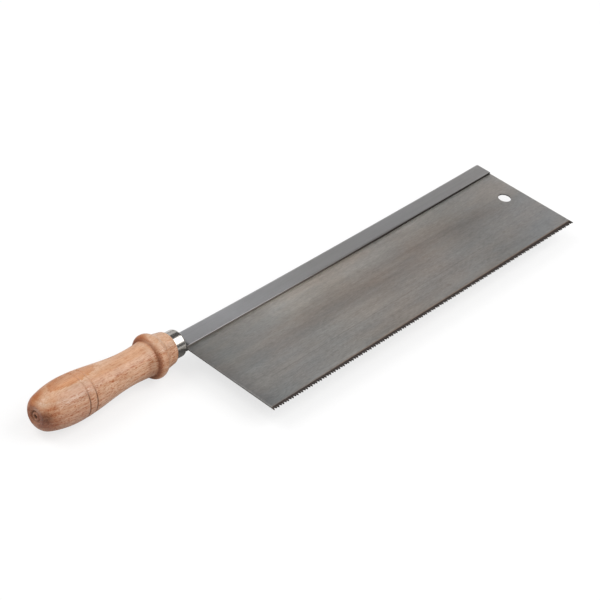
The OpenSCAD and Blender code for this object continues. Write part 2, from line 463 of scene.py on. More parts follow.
def finish_piece(name, mesh, place, node):
    """Puts a mesh in millimetres in its place and lets it stand for its solid."""
    mesh.name = name
    mesh.transform(Matrix.Scale(MM, 4) @ place)
    shaped = bmesh.new()
    shaped.from_mesh(mesh)
    bmesh.ops.recalc_face_normals(shaped, faces=shaped.faces)
    shaped.to_mesh(mesh)
    shaped.free()
    piece = bpy.data.objects.new(name, mesh)
    bpy.context.scene.collection.objects.link(piece)
    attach(piece, "root")
    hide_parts(node)


# Outlines

def arc(centre, radius, start, stop, steps=24):
    """Points of an arc, with its angles in degrees."""
    angles = np.radians(np.linspace(start, stop, steps + 1))
    return [(centre[0] + radius * math.cos(t), centre[1] + radius * math.sin(t)) for t in angles]


def evenly(points, spacing):
    """The same outline with points at an even spacing."""
    points = np.array(points)
    runs = np.hypot(*np.diff(points, axis=0).T)
    along = np.concatenate([[0], np.cumsum(runs)])
    at = np.linspace(0, along[-1], int(along[-1] / spacing) + 1)
    return np.column_stack([np.interp(at, along, points[:, axis]) for axis in (0, 1)])


def eased(points, reach):
    """Rounds the corners of an even outline as sanding does, and keeps its two ends."""
    weights = np.hanning(2 * reach + 3)[1:-1]
    weights /= weights.sum()
    before = 2 * points[0] - points[reach:0:-1]
    after = 2 * points[-1] - points[-2:-reach - 2:-1]
    padded = np.vstack([before, points, after])
    return np.column_stack([np.convolve(padded[:, axis], weights, "valid") for axis in (0, 1)])


def notch(place, middle, width, depth):
    """Depth of a V-shaped groove at a place."""
    return depth * np.clip(1 - np.abs(place - middle) * 2 / width, 0, None)


def handle_outline():
    """Half outline of the handle as (distance, radius), from its tenon to the middle of the butt."""
    barrel = np.array([BARREL_R, SHOULDER + SHOULDER_ROUND])
    flare = math.radians(BARREL_FLARE)
    way = np.array([math.sin(flare), math.cos(flare)])
    out = np.array([math.cos(flare), -math.sin(flare)])
    bead_front = np.array([BEAD_R - BEAD_FRONT_R, BEAD])
    offset = barrel + COVE_R * out - bead_front
    behind = offset @ way
    run = -behind - math.sqrt(behind**2 - offset @ offset + (COVE_R + BEAD_FRONT_R) ** 2)
    cove = bead_front + offset + run * way
    cove_end = math.degrees(math.atan2(BEAD - cove[1], bead_front[0] - cove[0]))
    painted_shade_bead_rear = (BEAD_R - BEAD_REAR_R, BEAD)
    crease_turn = math.acos((WAIST_R + NECK_RISE - painted_shade_bead_rear[0]) / BEAD_REAR_R)
    neck_len = WAIST - BEAD - BEAD_REAR_R * math.sin(crease_turn)
    neck_r = (neck_len**2 + NECK_RISE**2) / (2 * NECK_RISE)
    neck_start = 180 + math.degrees(math.asin(neck_len / neck_r))
    edge = math.radians(BUTT_EDGE_ANGLE)
    cap = (BUTT_FLAT_R - BUTT_ROUND * math.sin(edge), BUTT - BUTT_ROUND * math.cos(edge))
    drop = BELLY_R - cap[0]
    reach = cap[1] - BELLY
    rear_r = (reach**2 + drop**2 - BUTT_ROUND**2) / (2 * (drop - BUTT_ROUND))
    rear = (BELLY_R - rear_r, BELLY)
    rear_turn = math.degrees(math.atan2(reach, cap[0] - rear[0]))
    swell = [
        (WAIST_R + (BELLY_R - WAIST_R) * (1 - math.cos(math.pi * share)) / 2, WAIST + (BELLY - WAIST) * share)
        for share in np.linspace(0, 1, SWELL_POINTS)
    ]
    tenon_r = FERRULE_R - FERRULE_WALL - FIT_GAP
    tenon_front = FERRULE_FRONT + FERRULE_WALL + FIT_GAP
    points = [(0, tenon_front), (tenon_r - FERRULE_WALL, tenon_front), (tenon_r, tenon_front + FERRULE_WALL)]
    points += [(tenon_r, SHOULDER)]
    points += arc((BARREL_R - SHOULDER_ROUND, SHOULDER + SHOULDER_ROUND), SHOULDER_ROUND, -90, 0)
    points += arc(cove, COVE_R, 180 - BARREL_FLARE, cove_end)
    points += arc(bead_front, BEAD_FRONT_R, cove_end - 180, 0)
    points += arc(painted_shade_bead_rear, BEAD_REAR_R, 0, math.degrees(crease_turn))
    points += arc((WAIST_R + neck_r, WAIST), neck_r, neck_start, 180)
    points += swell
    points += arc(rear, rear_r, 0, rear_turn)
    points += arc(cap, BUTT_ROUND, rear_turn, 90 - BUTT_EDGE_ANGLE)
    points += [(0, BUTT)]
    radius, distance = evenly(points, HANDLE_STEP).T
    radius = radius * HANDLE_SLACK
    for line in LINES:
        radius = radius - notch(distance, line, LINE_W, LINE_DEPTH)
    on_butt = distance > BUTT - ON_BUTT
    marks = notch(radius, RING_R, RING_W, RING_DEPTH) + notch(radius, 0, 2 * POINT_R, POINT_DEPTH)
    distance = distance - np.where(on_butt, marks, 0)
    return eased(np.column_stack([distance, radius]), SANDING_REACH)


def ferrule_outline():
    """Wall of the drawn cup as (distance, radius), closed on itself."""
    edge = (FERRULE_FRONT + FERRULE_ROUND, FERRULE_R - FERRULE_ROUND)
    inner_round = FERRULE_ROUND - FERRULE_WALL
    half_wall = FERRULE_WALL / 2
    points = [(FERRULE_FRONT, FERRULE_HOLE_R)]
    points += arc(edge, FERRULE_ROUND, 180, 90)
    points += arc((SHOULDER - half_wall, FERRULE_R - half_wall), half_wall, 90, -90, RIM_STEPS)
    points += arc(edge, inner_round, 90, 180)
    points += [(FERRULE_FRONT + FERRULE_WALL, FERRULE_HOLE_R), (FERRULE_FRONT, FERRULE_HOLE_R)]
    return evenly(points, FERRULE_STEP)


def outline_mesh(name, points):
    """Seed mesh of an outline, a chain of edges."""
    mesh = bpy.data.meshes.new(name)
    chain = [(i, i + 1) for i in range(len(points) - 1)]
    mesh.from_pydata([(x, y, 0) for x, y in points], chain, [])
    return mesh


def handle_place():
    """Turns a piece made along +X to lie along the handle's axis, behind the heel."""
    lean = Matrix.Rotation(-HANDLE_TILT, 4, "Z")
    about = Matrix.Rotation(math.pi, 4, "Z")
    return Matrix.Translation(AXIS_START) @ lean @ about


def strip_sides(share):
    """Outer and inner side of the strip's section as (height, side), from lip to lip, with equal counts."""
    half_t = BACK_T / 2
    fold_y = BACK_H - half_t
    slot = BLADE_T / 2 + SLOT_GAP
    pinch = TOE_PINCH * share
    rise = TOE_RISE * max(0, share - TOE_RISE_FROM) + HEEL_RISE * max(0, HEEL_RISE_TO - share)
    bow = BOW_LEAST + BOW_GAIN * abs(2 * (share - BOW_MIDDLE)) ** BOW_POWER
    wall_h = BACK_H - FOLD_ROUND - LIP_ROUND
    outer = arc((LIP_ROUND, half_t - LIP_ROUND), LIP_ROUND, 180, 90, LIP_STEPS)
    outer += [(LIP_ROUND + wall_h * step / WALL_STEPS, half_t) for step in range(1, WALL_STEPS)]
    outer += arc((BACK_H - FOLD_ROUND, half_t - FOLD_ROUND), FOLD_ROUND, 90, 0, FOLD_STEPS)
    lifts = [rise * max(0, 1 - y / fold_y) + bow * y / BACK_H for y, z in outer]
    pinches = [pinch * max(0, 1 - y / PINCH_H) ** 2 for y, z in outer]
    outer = [(y + lift, z - squeeze) for (y, z), lift, squeeze in zip(outer, lifts, pinches)]
    deep = len(outer) - SLOT_STEPS - 1
    inner = [(rise + (fold_y - rise) * step / deep, slot) for step in range(deep + 1)]
    inner += arc((fold_y, 0), slot, 90, 0, SLOT_STEPS)[1:]
    outer += [(y, -z) for y, z in reversed(outer)]
    inner += [(y, -z) for y, z in reversed(inner)]
    return outer, inner


def strip_mesh(finish):
    """Strip folded over the blade, lofted along its length, with a chamfer at its two ends."""
    inset = [0, END_CHAMFER]
    inset += list(np.linspace(SECTION_INSET, BACK_LEN - SECTION_INSET, SECTION_COUNT))
    inset += [BACK_LEN - END_CHAMFER, BACK_LEN]
    mesh = bpy.data.meshes.new("folded_strip")
    built = bmesh.new()
    sections = []
    for x in inset:
        outer, inner = strip_sides(x / BACK_LEN)
        at_end = x in (0, BACK_LEN)
        shrink = 1 - END_CHAMFER / (BACK_T / 2) if at_end else 1
        lower = -END_CHAMFER if at_end else 0
        wall = [built.verts.new((x, y + lower * (y > BACK_H / 2), z * shrink)) for y, z in outer]
        slot = [built.verts.new((x, y, z)) for y, z in inner]
        sections.append((wall, slot))
    for first, second in zip(sections, sections[1:]):
        for side in (0, 1):
            for i in range(len(first[side]) - 1):
                built.faces.new((first[side][i], first[side][i + 1], second[side][i + 1], second[side][i]))
        for i in (0, -1):
            built.faces.new((first[0][i], second[0][i], second[1][i], first[1][i]))
    for wall, slot in (sections[0], sections[-1]):
        for i in range(len(wall) - 1):
            built.faces.new((wall[i], slot[i], slot[i + 1], wall[i + 1]))
    bmesh.ops.remove_doubles(built, verts=built.verts, dist=SEAM)
    for face in built.faces:
        face.smooth = True
    built.to_mesh(mesh)
    built.free()
    mesh.set_sharp_from_angle(angle=SHARP_ANGLE)
    mesh.materials.append(finish)
    return mesh


# Noises of the materials: scale, detail and roughness. The wood's scales are per millimetre along, across
# and through the board, those of clouds and tarnish are per metre, and those of strokes are per stroke.
SWAY_NOISE = ((0.03, 0.09, 0.09), 2, 0.5)
FRAY_NOISE = ((0.4, 1.6, 1.6), 3, 0.7)
BLOTCH_NOISE = ((0.12, 0.3, 0.3), 3, 0.6)
FIBRE_NOISE = ((0.03, 1.1, 1.1), 4, 0.65)
PORE_NOISE = ((0.5, 3.2, 2.2), 3, 0.7)
STAIN_NOISE = ((0.5, 0.9, 0.9), 3, 0.6)
SCRATCH_NOISE = ((1, 1, 1), 4, 0.7)
STREAK_NOISE = ((0.06, 0.3, 0.3), 3, 0.6)
CLOUD_NOISE = ((10, 60, 60), 4, 0.6)
TARNISH_NOISE = ((22, 75, 75), 3, 0.6)

# Nearly all of a noise lies in this span
NOISE_SPAN = (0.3, 0.7)

# How far a face has to turn to count as an end or as the lower edge of a sheet
END_FACING = (0.3, 0.7)
LOWER_FACING = (-0.35, -0.8)


# Shader node groups

def object_place(tree):
    """Place on a piece, in metres."""
    return add(tree, "ShaderNodeTexCoord").outputs["Object"]


def noise(tree, place, scale, detail, roughness):
    """Noise between 0 and 1 on a place that is stretched by a scale."""
    stretched = add(tree, "ShaderNodeMapping", {"Vector": place, "Scale": scale})
    made = add(
        tree,
        "ShaderNodeTexNoise",
        {"Vector": stretched.outputs[0], "Scale": 1.0, "Detail": detail, "Roughness": roughness},
    )
    return made.outputs[0]


def toned(tree, value, low, high, smooth=False):
    """Noise brought to a span of tones."""
    return span(tree, value, *NOISE_SPAN, low, high, smooth)


def grey(tree, value):
    """Colour with three equal parts."""
    return add(tree, "ShaderNodeCombineColor", {0: value, 1: value, 2: value}).outputs[0]


def new_group(name, inputs, outputs):
    """Shader group with number sockets; returns it with its input and output nodes."""
    tree = bpy.data.node_groups.new(name, "ShaderNodeTree")
    for label in inputs:
        tree.interface.new_socket(label, in_out="INPUT", socket_type="NodeSocketFloat")
    for label in outputs:
        tree.interface.new_socket(label, in_out="OUTPUT", socket_type="NodeSocketFloat")
    return tree, tree.nodes.new("NodeGroupInput"), tree.nodes.new("NodeGroupOutput")


def brushed_group():
    """Grinding strokes along X: fine scratches, wider streaks and soft clouds, each from 0 to 1."""
    tree, start, end = new_group("brushed_strokes", ("Length", "Width"), ("Scratch", "Streak", "Cloud"))
    place = object_place(tree)
    point = split(tree, place)
    stretched = add(
        tree,
        "ShaderNodeCombineXYZ",
        {
            "X": maths(tree, "DIVIDE", point["X"], start.outputs["Length"]),
            "Y": maths(tree, "DIVIDE", point["Y"], start.outputs["Width"]),
            "Z": maths(tree, "DIVIDE", point["Z"], start.outputs["Width"]),
        },
    ).outputs[0]
    tree.links.new(noise(tree, stretched, *SCRATCH_NOISE), end.inputs["Scratch"])
    tree.links.new(noise(tree, stretched, *STREAK_NOISE), end.inputs["Streak"])
    tree.links.new(noise(tree, place, *CLOUD_NOISE), end.inputs["Cloud"])
    return tree


def cut_group():
    """Masks of the sheared edges of a sheet: its two ends, and the side that faces the teeth."""
    tree, start, end = new_group("sheared_edges", ("Early",), ("Ends", "Lower"))
    facing = split(tree, add(tree, "ShaderNodeTexCoord").outputs["Normal"])
    endward = maths(tree, "ABSOLUTE", facing["X"])
    tree.links.new(span(tree, endward, *END_FACING), end.inputs["Ends"])
    down = maths(tree, "SUBTRACT", facing["Y"], start.outputs["Early"])
    tree.links.new(span(tree, down, *LOWER_FACING), end.inputs["Lower"])
    return tree


# Materials

def new_material(name):
    """Material with an empty tree; returns it with its tree and its Principled shader."""
    made = bpy.data.materials.new(name)
    made.use_nodes = True
    tree = made.node_tree
    tree.nodes.clear()
    shader = tree.nodes.new("ShaderNodeBsdfPrincipled")
    output = tree.nodes.new("ShaderNodeOutputMaterial")
    tree.links.new(shader.outputs[0], output.inputs["Surface"])
    return made, tree, shader


def bump(tree, height, distance, strength):
    """Normal from a height between 0 and 1, with the depth in millimetres."""
    made = add(tree, "ShaderNodeBump", {"Height": height, "Distance": distance * MM, "Strength": strength})
    return made.outputs[0]


# Beech: a flat-sawn board with its pith far above the handle. A ring is given by stops of (share, colour),
# and other spans by their ends and what these map to.
BOARD_TURN = math.radians(12)
PITH_AWAY = 70.0
RING_START = 10.3
RING_SPACING = 2.9
RING_SWAY = 2.4
RING_FRAY = 1.9
LIGHT_WOOD = (0.69, 0.46, 0.315)
TAN_WOOD = (0.648, 0.40, 0.258)
ORANGE_WOOD = (0.615, 0.326, 0.18)
LATE_WOOD = (0.552, 0.28, 0.142)
DULL_WOOD = (0.624, 0.363, 0.225)
BOLD_RING = ((0.0, LATE_WOOD), (0.09, LIGHT_WOOD), (0.4, TAN_WOOD), (0.8, ORANGE_WOOD), (1.0, LATE_WOOD))
FAINT_RING = ((0.0, ORANGE_WOOD), (0.1, TAN_WOOD), (0.75, TAN_WOOD), (1.0, DULL_WOOD))
BOLD_ON_TOP = (("through", 7.4, 9.6), ("behind", 19, 27, 0.35, 1.0))
BOLD_AT_BUTT = (79, 86, 0.0, 0.6)
BLOTCH_TONES = (0.92, 1.06)

# Marks of the board: what counts as one, its shares on the board's faces and edges, and its tint
BOARD_EDGE = (0.6, 0.9)
EDGE_TINT = (1.09, 1.14, 1.21)
FIBRE = (0.66, 0.34)
FIBRE_SHARES = (0.45, 1.0)
FIBRE_TINT = (0.80, 0.65, 0.55)
PORE = (0.45, 0.72)
PORE_SHARES = (0.45, 0.8)
PORE_TINT = (0.76, 0.55, 0.42)
RAY_SCALES = ((0.2, 2.2, 1.6), (0.5, 2.8, 2.0))
RAY_CORE = (0.48, 0.22)
RAY_CHOICE = (0.3, 0.8)
RAY_SHARES = (0.5, 1.0)
RAY_TINT = (0.68, 0.42, 0.28)

# Tinted places of the handle: soaked end grain, a belly darker below, and painted shade, painted bounce light
# and painted sheen; the tint of each, then its limits as (measure, start, full).
# Behind, side, height, radius and crease are in millimetres, sideways and rearward are shares.
NEAR_BUTT = (BUTT - 4, BUTT - 3)
WOOD_PLACES = {
    # The belly is darker towards the bottom
    "belly_darker_below": ((0.86, 0.80, 0.79), ("behind", 45, 72), ("height", 7, 1)),
    # Painted bounce light: the low side of the neck is lightened in place of light from the floor
    "painted_bounce_light_neck": ((1.06, 1.10, 1.12), ("behind", 25, 31), ("behind", 66, 58), ("height", 6.5, 3.0)),
    # Painted shade: the far side of the belly is darker and more orange
    "painted_shade_far_belly": ((0.80, 0.65, 0.51), ("behind", 58, 74), ("side", -1.5, 6.5)),
    # Painted sheen: a paler, pinker band on the near side of the belly, where the key lamp's gloss falls
    "painted_sheen_belly": (
        (0.955, 1.03, 1.15),
        ("behind", 58, 67),
        ("behind", 87, 80),
        ("sideways", -0.12, -0.42),
        ("height", 5.0, 7.5),
    ),
    "near_edge": ((0.74, 0.60, 0.50), ("behind", 82, 87.5), ("sideways", -0.3, -0.75)),
    "end_grain": ((0.93, 0.91, 0.92), ("rearward", 0.5, 0.95)),
    # Painted shade: the lower part of the bead's rear slope is darker
    "painted_shade_bead_rear": ((0.79, 0.71, 0.65), ("rearward", 0.2, 0.75), ("behind", 30, 26), ("height", 10.5, 6.0)),
    # Painted shade: the crease behind the bead is darker and warmer
    "crease": ((0.95, 0.80, 0.70), ("crease", 1.9, 0.3)),
    # Painted shade: the far side of the bead's rear is darker and more orange
    "painted_shade_bead_far": ((0.80, 0.60, 0.47), ("rearward", 0.1, 0.5), ("behind", 30, 26), ("side", 0.5, 5.5)),
    # Painted shade: the low side of the neck just behind the bead is darker
    "painted_shade_under_bead": ((0.76, 0.74, 0.72), ("behind", 20, 21.5), ("behind", 30, 24), ("height", 9.3, 4)),
    # Painted shade: a band along the barrel is darker, dulling the key lamp's highlight
    "painted_shade_barrel_band": ((0.86, 0.86, 0.84), ("height", 8.5, 7.6), ("height", 5.0, 6.4), ("behind", 15, 13)),
    # Painted shade: the far side of the bead is darker and more orange
    "painted_shade_bead_rim": ((0.86, 0.77, 0.71), ("behind", 15, 17), ("behind", 21, 19), ("sideways", 0.25, 0.5)),
    # Painted sheen: the tops of the barrel and the bead are paler
    "painted_sheen_bead_top": ((1.02, 1.10, 1.17), ("behind", 27, 23), ("height", 6.5, 9), ("sideways", 0.5, 0.2)),
    "butt_flat": ((0.74, 0.69, 0.71), ("behind", *NEAR_BUTT), ("radius", 6.6, 5.2)),
}

# Spots on the butt, which drank most lacquer on its far edge, deepened there with painted shade, and is
# stained on its near side, with a painted highlight on top: the tint of each, its middle along the axis, to
# the side and in height, its reach, and whether it is patchy
SPOT_CORE = 0.2
BUTT_SPOTS = {
    # End grain that drank lacquer, deepened with painted shade where it faces away from the key lamp
    "end_grain_edge_and_shade": ((0.84, 0.61, 0.40), (2.8 - BUTT, 5.8, 6.8), 7.5, False),
    "stain": ((0.45, 0.38, 0.31), (1.0 - BUTT, -6.4, 2.6), 4.4, True),
    "lower_stain": ((0.76, 0.69, 0.69), (1.3 - BUTT, -7.0, -1.2), 4.6, False),
    # Painted highlight: a paler patch on the top of the butt's round
    "painted_highlight_butt": ((0.97, 1.08, 1.18), (3.6 - BUTT, -1.2, 8.2), 5.0, False),
}
PATCHES = (0.3, 0.6, 0.45, 1.0)

# Dirt in the lathe's centre point and in the scribed lines; painted shade on one side of the lathe's ring, on
# the lines' lower side and in the crease
DIRT_AND_SHADE = (0.13, 0.06, 0.035)
POINT_DIRT = (POINT_R + 0.1, POINT_R - 0.5, 0.0, 0.9)
# Painted shade: the lathe's ring is darkened on its +Y side only
RING_SHADE = (0.75, 0.1)
RING_SHADE_SIDE = (-1.0, 1.8, 0.0, 0.85)
LINE_DIRT = (LINE_W * 0.45, 0.1)
# Painted shade: the dirt in the scribed lines grows much darker towards the lower side
LINE_SHADE_HEIGHT = (10, 4.5, 0.08, 0.85)
# Painted shade: a dark line in the crease behind the bead
CREASE_SHADE = (1.1, 0.1, 0.0, 0.22)

# Lacquer, which is gone where the dirt and the painted shade are and thin on the far side
LACQUER_IN_DIRT_AND_SHADE = (0.0, 0.6, 0.4, 0.0)
FAR_SIDE = (("sideways", 0.15, 0.55), ("behind", 13, 16))
LACQUER_ON_FAR_SIDE = (0, 1, 1.0, 0.2)
LACQUER_ROUGH = 0.15
WOOD_SPECULAR = 0.14
WOOD_ROUGH = (0.35, 0.7, 0.36, 0.5)
WOOD_RELIEF = (0.006, 0.5)
PORE_SUNK = 0.6


def near_point(tree, place, point, reach):
    """Mask that fades from 1 near a point to 0 at a reach from it."""
    away = add(tree, "ShaderNodeVectorMath", {0: place, 1: point}, operation="DISTANCE").outputs["Value"]
    return span(tree, away, reach, reach * SPOT_CORE)


def ray_flecks(tree, board, scale):
    """Mask of short flecks, one in some cells of a stretched pattern."""
    stretched = add(tree, "ShaderNodeMapping", {"Vector": board, "Scale": scale}).outputs[0]
    cells = add(tree, "ShaderNodeTexVoronoi", {"Vector": stretched, "Scale": 1.0}).outputs
    chosen = add(tree, "ShaderNodeSeparateColor", {0: cells["Color"]}).outputs["Red"]
    return times(tree, span(tree, cells["Distance"], *RAY_CORE), span(tree, chosen, *RAY_CHOICE))


def growth_rings(tree, board, behind):
    """Colour of the rings, wide arcs about the pith, where each ring starts with an abrupt change."""
    point = split(tree, board)
    sway = times(tree, maths(tree, "SUBTRACT", noise(tree, board, *SWAY_NOISE), 0.5), RING_SWAY)
    fray = times(tree, maths(tree, "SUBTRACT", noise(tree, board, *FRAY_NOISE), 0.5), RING_FRAY)
    from_pith = diagonal(tree, maths(tree, "SUBTRACT", PITH_AWAY, point["Z"]), point["Y"])
    outward = maths(tree, "SUBTRACT", from_pith, PITH_AWAY - RING_START)
    swayed = maths(tree, "ADD", outward, maths(tree, "ADD", sway, fray))
    ring = maths(tree, "FRACT", maths(tree, "DIVIDE", swayed, RING_SPACING))
    on_top = mask_of(tree, {"through": point["Z"], "behind": behind}, BOLD_ON_TOP)
    boldness = most(tree, on_top, span(tree, behind, *BOLD_AT_BUTT))
    rings = mix(tree, "MIX", boldness, ramp(tree, ring, FAINT_RING), ramp(tree, ring, BOLD_RING))
    blotch = toned(tree, noise(tree, board, *BLOTCH_NOISE), *BLOTCH_TONES)
    return multiplied(tree, rings, grey(tree, blotch))


def board_marks(tree, board, from_axis):
    """Masks and tints of the board's two edges, and of the fibres, pores and rays that show most there."""
    wide = maths(tree, "ABSOLUTE", split(tree, board)["Y"])
    on_edge = span(tree, maths(tree, "DIVIDE", wide, from_axis), *BOARD_EDGE)
    pores = noise(tree, board, *PORE_NOISE)
    fibres = span(tree, noise(tree, board, *FIBRE_NOISE), *FIBRE)
    open_pores = span(tree, pores, *PORE)
    rays = most(tree, *(ray_flecks(tree, board, scale) for scale in RAY_SCALES))
    tints = [
        (on_edge, EDGE_TINT),
        (times(tree, fibres, span(tree, on_edge, 0, 1, *FIBRE_SHARES)), FIBRE_TINT),
        (times(tree, open_pores, span(tree, on_edge, 0, 1, *PORE_SHARES)), PORE_TINT),
        (times(tree, rays, span(tree, on_edge, 0, 1, *RAY_SHARES)), RAY_TINT),
    ]
    return tints, pores, most(tree, rays, times(tree, open_pores, PORE_SUNK))


def dirt_and_shade_mask(tree, measures):
    """Mask of the dirt in the lathe's centre point and the scribed lines, and of painted shade in the lathe's
    ring, on the lines' lower side and in the crease behind the bead.
    """
    near_butt = span(tree, measures["behind"], *NEAR_BUTT)
    in_point = span(tree, measures["radius"], *POINT_DIRT)
    in_ring = span(tree, apart(tree, measures["radius"], RING_R), *RING_SHADE)
    ring_shade_side = span(tree, measures["side"], *RING_SHADE_SIDE)
    in_lines = most(tree, *(span(tree, apart(tree, measures["behind"], line), *LINE_DIRT) for line in LINES))
    return most(
        tree,
        times(tree, near_butt, in_point),
        # Painted shade on the +Y side of the lathe's ring
        times(tree, near_butt, in_ring, ring_shade_side),
        # Dirt in the scribed lines, with painted shade towards their lower side
        times(tree, in_lines, span(tree, measures["height"], *LINE_SHADE_HEIGHT)),
        # Painted shade in the crease
        span(tree, measures["crease"], *CREASE_SHADE),
    )


def beech():
    """Lacquered beech: growth rings of a flat-sawn board, ray flecks, pores, stains and dirt, with painted
    shade, painted bounce light, painted sheen and a painted highlight.
    """
    made, tree, shader = new_material("lacquered_beech")
    place = add(tree, "ShaderNodeTexCoord").outputs
    back_turn = Matrix.Rotation(HANDLE_TILT, 3, "Z")
    along = add(
        tree,
        "ShaderNodeMapping",
        {
            "Vector": place["Object"],
            "Scale": (1 / MM,) * 3,
            "Rotation": (0, 0, HANDLE_TILT),
            "Location": -(back_turn @ AXIS_START),
        },
    ).outputs[0]
    board = add(tree, "ShaderNodeMapping", {"Vector": along, "Rotation": (BOARD_TURN, 0, 0)}).outputs[0]
    rearward = add(
        tree,
        "ShaderNodeVectorMath",
        {0: place["Normal"], 1: (-math.cos(HANDLE_TILT), math.sin(HANDLE_TILT), 0)},
        operation="DOT_PRODUCT",
    ).outputs["Value"]
    spot = split(tree, along)
    behind = times(tree, spot["X"], -1)
    from_axis = diagonal(tree, spot["Y"], spot["Z"])
    measures = {
        "behind": behind,
        "side": spot["Y"],
        "height": spot["Z"],
        "radius": from_axis,
        "sideways": maths(tree, "DIVIDE", spot["Y"], from_axis),
        "rearward": rearward,
        "crease": apart(tree, behind, CREASE),
    }

    colour = growth_rings(tree, board, behind)
    tints, pores, sunk = board_marks(tree, board, from_axis)
    for mask, tint in tints:
        colour = tinted(tree, mask, colour, tint)
    colour = tinted_at_places(tree, measures, WOOD_PLACES, colour)
    patches = span(tree, noise(tree, along, *STAIN_NOISE), *PATCHES)
    for tint, middle, reach, patchy in BUTT_SPOTS.values():
        spotted = near_point(tree, along, middle, reach)
        mask = times(tree, spotted, patches) if patchy else spotted
        colour = tinted(tree, mask, colour, tint)
    # Dirt, and painted shade in the ring, the lines and the crease
    dirt_and_shade = dirt_and_shade_mask(tree, measures)
    tree.links.new(covered(tree, dirt_and_shade, colour, DIRT_AND_SHADE), shader.inputs["Base Color"])
    tree.links.new(bump(tree, maths(tree, "SUBTRACT", 1, sunk), *WOOD_RELIEF), shader.inputs["Normal"])
    tree.links.new(span(tree, pores, *WOOD_ROUGH, smooth=False), shader.inputs["Roughness"])
    on_far_side = mask_of(tree, measures, FAR_SIDE)
    lacquer = times(
        tree,
        span(tree, dirt_and_shade, *LACQUER_IN_DIRT_AND_SHADE),
        span(tree, on_far_side, *LACQUER_ON_FAR_SIDE),
    )
    tree.links.new(lacquer, shader.inputs["Coat Weight"])
    shader.inputs["Specular IOR Level"].default_value = WOOD_SPECULAR
    shader.inputs["Coat Roughness"].default_value = LACQUER_ROUGH
    return made


# Metals: strokes as (length, width), tones of a noise as (low, high), and relief as (depth, strength)
PLATING_STROKES = (0.4, 1.5)
PLATING_TONES = ((0.35, (0.515, 0.488, 0.455)), (0.65, (0.597, 0.572, 0.537)))
PLATING_ROUGH = (0.16, 0.25)
PLATING_RELIEF = (0.002, 0.4)
STEEL_RELIEF = (0.004, 0.5)
SHEARED_ROUGH = 0.25

# Folded back: cloud and shine along its length as stops of (share, colour), then its edges, the painted shade
# along its lip and the painted contact shadow at its heel
BACK_STROKES = (4, 0.5)
BACK_CLOUD = ((0.3, (0.545, 0.54, 0.542)), (0.7, (0.625, 0.624, 0.634)))
BACK_STREAKS = (0.96, 1.04)
BACK_SCRATCHES = (0.95, 1.05)
BACK_ROUGH = (0.4, 0.5)
BACK_SHINE = (
    (0.0, (0.78, 0.78, 0.79)),
    (0.14, (0.863, 0.863, 0.873)),
    (0.4, (0.746, 0.736, 0.723)),
    (0.7, (0.78, 0.775, 0.772)),
    (1.0, (0.97, 0.951, 0.936)),
)
TOEWARD = (22, 165)
# The sheared lip is dark steel, and painted shade darkens it further towards the toe
LIP_SHEAR_AND_SHADE = ((0.0, (0.24, 0.217, 0.20)), (1.0, (0.047, 0.042, 0.038)))
# Painted shade: towards the toe the lip's dark face reaches higher up its rounding
LIP_EARLY = 0.2
# Painted shade: a dark band that creeps up from the lip towards the toe
LIP_SHADE_CREEP = (1.5, 0.4, 0.0, 0.5)
LIP_SHADE = (0.10, 0.087, 0.08)
# Painted contact shadow: the back is darkened at its heel end, where it meets the ferrule
HEEL_SHADOW_PLACE = (("from_heel", 2.8, 0.7, 0.0, 0.8), ("from_heel", -0.2, -0.05))
HEEL_SHADOW = (0.05, 0.046, 0.043)
BACK_END = (0.31, 0.305, 0.30)

# Blade: its middle is brighter and warmer than its two ends, most of all under the back. Along is a
# share of its length, and above, off_line, over_band and from_heel are in millimetres.
BLADE_STROKES = (3, 0.6)
BLADE_STREAKS = (0.95, 1.05)
BLADE_SCRATCHES = (0.85, 1.15)
BLADE_ROUGH = (0.48, 0.58)
BLADE_LENGTH_TONES = (
    (0.0, (0.256, 0.251, 0.246)),
    (0.04, (0.328, 0.328, 0.318)),
    (0.14, (0.391, 0.381, 0.367)),
    (0.26, (0.413, 0.398, 0.375)),
    (0.4, (0.393, 0.369, 0.343)),
    (0.62, (0.381, 0.357, 0.335)),
    (0.78, (0.348, 0.34, 0.326)),
    (0.88, (0.377, 0.369, 0.359)),
    (1.0, (0.444, 0.433, 0.423)),
)
UNDER_BACK = (
    ("along", 0.1, 0.28),
    ("along", 0.5, 0.66, 0.19, 0.26),
    ("along", 0.98, 0.86, 0.45, 1.0),
    ("above", 36, 52),
)
BLADE_MIDDLE = (("along", 0.1, 0.3), ("along", 0.95, 0.65))
HAZE = (0.88, 1.12)
HAZE_SHARES = (0.6, 1.0)
TARNISH = ((0.36, (0.972, 1.0, 1.03)), (0.64, (1.024, 0.994, 0.976)))
STROKE_LINE_H = 17.3
BLADE_PLACES = {
    "dull_band": (
        (0.945, 0.907, 0.89),
        ("above", 22, 34),
        ("above", 48, 38),
        ("along", 0.04, 0.2),
        ("along", 0.95, 0.75),
        ("cloud", 0.65, 0.35, 0.35, 1.0),
    ),
    "stroke_line": ((0.9, 0.9, 0.9), ("off_line", 0.5, 0.1), ("along", 0.02, 0.08), ("along", 0.85, 0.7)),
    "warm_upper": ((1.01, 0.99, 0.965), ("above", 24, 40)),
}
BAND_TOP = (140, 240, 1.95, 2.25)
TOOTH_BAND = {
    "scorched": ((0.36, 0.29, 0.235), ("over_band", 0.9, 0.15), ("from_heel", 5, 70, 0.35, 1.0)),
    "hardened": ((0.10, 0.08, 0.073), ("over_band", 0.2, -0.25)),
}
BLADE_EARLY = 0.15
BLADE_EDGE = (0.09, 0.085, 0.08)
BLADE_END = (0.25, 0.245, 0.235)
OVER_TEETH = (1.5, 2.2)


def strokes_in(tree, group, length, width):
    """Grinding strokes of a length and width in millimetres."""
    return add(tree, "ShaderNodeGroup", {"Length": length * MM, "Width": width * MM}, node_tree=group).outputs


